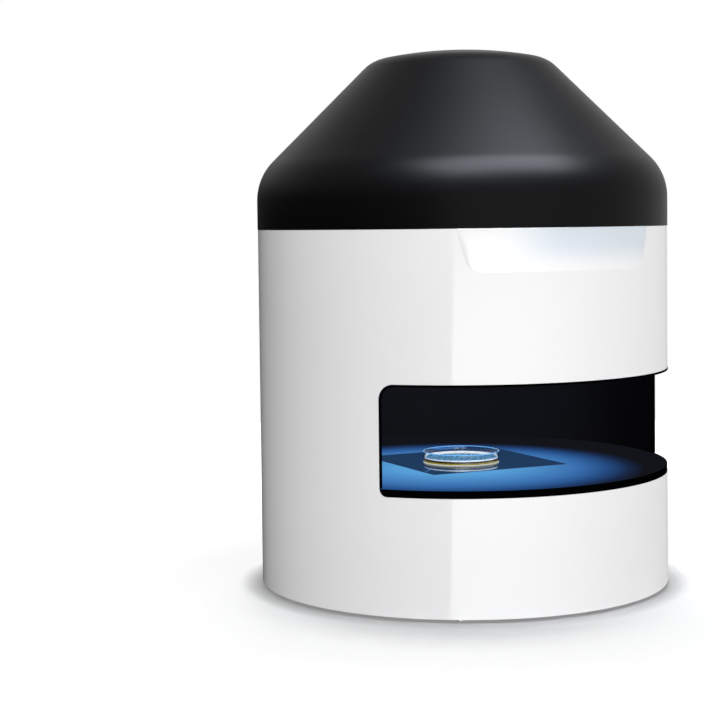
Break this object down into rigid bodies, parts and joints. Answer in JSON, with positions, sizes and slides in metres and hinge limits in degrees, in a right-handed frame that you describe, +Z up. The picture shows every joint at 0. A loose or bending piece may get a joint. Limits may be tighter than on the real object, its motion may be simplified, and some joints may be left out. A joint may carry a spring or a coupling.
{
  "type": "colony counter",
  "caption": "Drum-shaped colony counter with a domed cap: a wrapped window opens on a lit glass stage that holds a Petri dish under a camera and its lens.",
  "frame": {"origin": "on the bench, under the middle of the drum", "axes": "+Z up, the front with the badge faces -Y, +X is to the right of someone who looks at the front from behind the drum's axis, as seen along +Y"},
  "size_m": [0.4608, 0.4608, 0.5985],
  "materials": {
    "drum_paint": "white satin powder coat",
    "cap_plastic": "black soft-touch",
    "badge_metal": "satin, bare",
    "trim_rubber": "black matte",
    "chamber_paint": "black matte",
    "stage_paint": "black satin",
    "dark_glass": "dark polished",
    "zinc_steel": "zinc plated",
    "screw_steel": "satin",
    "turned_aluminium": "turned",
    "camera_anodised": "anodised dark blue",
    "lens_black": "anodised black",
    "lens_glass": "coated",
    "board_green": "solder resist",
    "component_black": "moulded",
    "led_blue": "lit",
    "opal_plastic": "opal",
    "panel_paint": "dark grey satin",
    "black_plastic": "moulded",
    "rocker_plastic": "moulded",
    "socket_metal": "plated",
    "pin_brass": "plated",
    "foot_rubber": "matte",
    "dish_plastic": "clear polystyrene",
    "agar": "translucent gel"
  },
  "bodies": {
    "housing": {"arm_screws": "screw_steel", "backlight_board": "board_green", "backlight_diffuser": "opal_plastic", "backlight_leds": "led_blue", "badge_plate": "badge_metal", "base_plate": "zinc_steel", "base_screws": "screw_steel", "board_components": "component_black", "board_standoffs": "turned_aluminium", "camera_arm": "turned_aluminium", "camera_body": "camera_anodised", "camera_deck": "zinc_steel", "camera_mast": "zinc_steel", "cap_ring": "zinc_steel", "cap_screws": "screw_steel", "chamber_liner": "chamber_paint", "control_board": "board_green", "data_sockets": "socket_metal", "deck_screws": "screw_steel", "fan_frame": "black_plastic", "fan_guard": "socket_metal", "fan_screws": "screw_steel", "front_lens": "lens_glass", "inlet_pins": "pin_brass", "lens_barrel": "lens_black", "lens_mount": "turned_aluminium", "light_box": "turned_aluminium", "mast_screws": "screw_steel", "outer_shell": "drum_paint", "panel_screws": "screw_steel", "pillar_screws": "screw_steel", "power_inlet": "black_plastic", "power_supply": "zinc_steel", "rear_panel": "panel_paint", "ring_light_board": "board_green", "ring_light_diffuser": "opal_plastic", "ring_light_housing": "chamber_paint", "ring_light_leds": "led_blue", "ring_light_screws": "screw_steel", "rubber_feet": "foot_rubber", "stage_gasket": "trim_rubber", "stage_glass": "dark_glass", "stage_pillars": "turned_aluminium", "stage_plate": "stage_paint", "supply_terminals": "component_black", "top_cap": "cap_plastic", "window_trim": "trim_rubber"},
    "dish": {"petri_dish": "dish_plastic", "agar_gel": "agar"},
    "fan_wheel": {"fan_rotor": "black_plastic"},
    "fuse_holder": {"fuse_drawer": "black_plastic"},
    "rocker": {"power_rocker": "rocker_plastic"},
    "iris_control": {"iris_ring": "lens_black", "iris_lock_screw": "screw_steel"},
    "focus_control": {"focus_ring": "lens_black", "focus_lock_screw": "screw_steel"}
  },
  "joints": [
    {"name": "dish_slide", "type": "slide", "parent": "housing", "child": "dish", "axis": [0, -1, 0], "range_m": [0, 0.3]},
    {"name": "fan_spin", "type": "hinge", "parent": "housing", "child": "fan_wheel", "pos_m": [-0.052, 0.20401, 0.065], "axis": [0, 1, 0], "continuous": true},
    {"name": "fuse_slide", "type": "slide", "parent": "housing", "child": "fuse_holder", "axis": [0, 1, 0], "range_m": [0, 0.016]},
    {"name": "rocker_turn", "type": "hinge", "parent": "housing", "child": "rocker", "pos_m": [0.055, 0.20501, 0.0825], "axis": [0, 0, 1], "range_deg": [-16, 0]},
    {"name": "iris_turn", "type": "hinge", "parent": "housing", "child": "iris_control", "pos_m": [0, -0.004, 0.38], "axis": [0, 0, 1], "range_deg": [0, 75]},
    {"name": "focus_turn", "type": "hinge", "parent": "housing", "child": "focus_control", "pos_m": [0, -0.004, 0.34], "axis": [0, 0, 1], "range_deg": [-90, 90]}
  ]
}
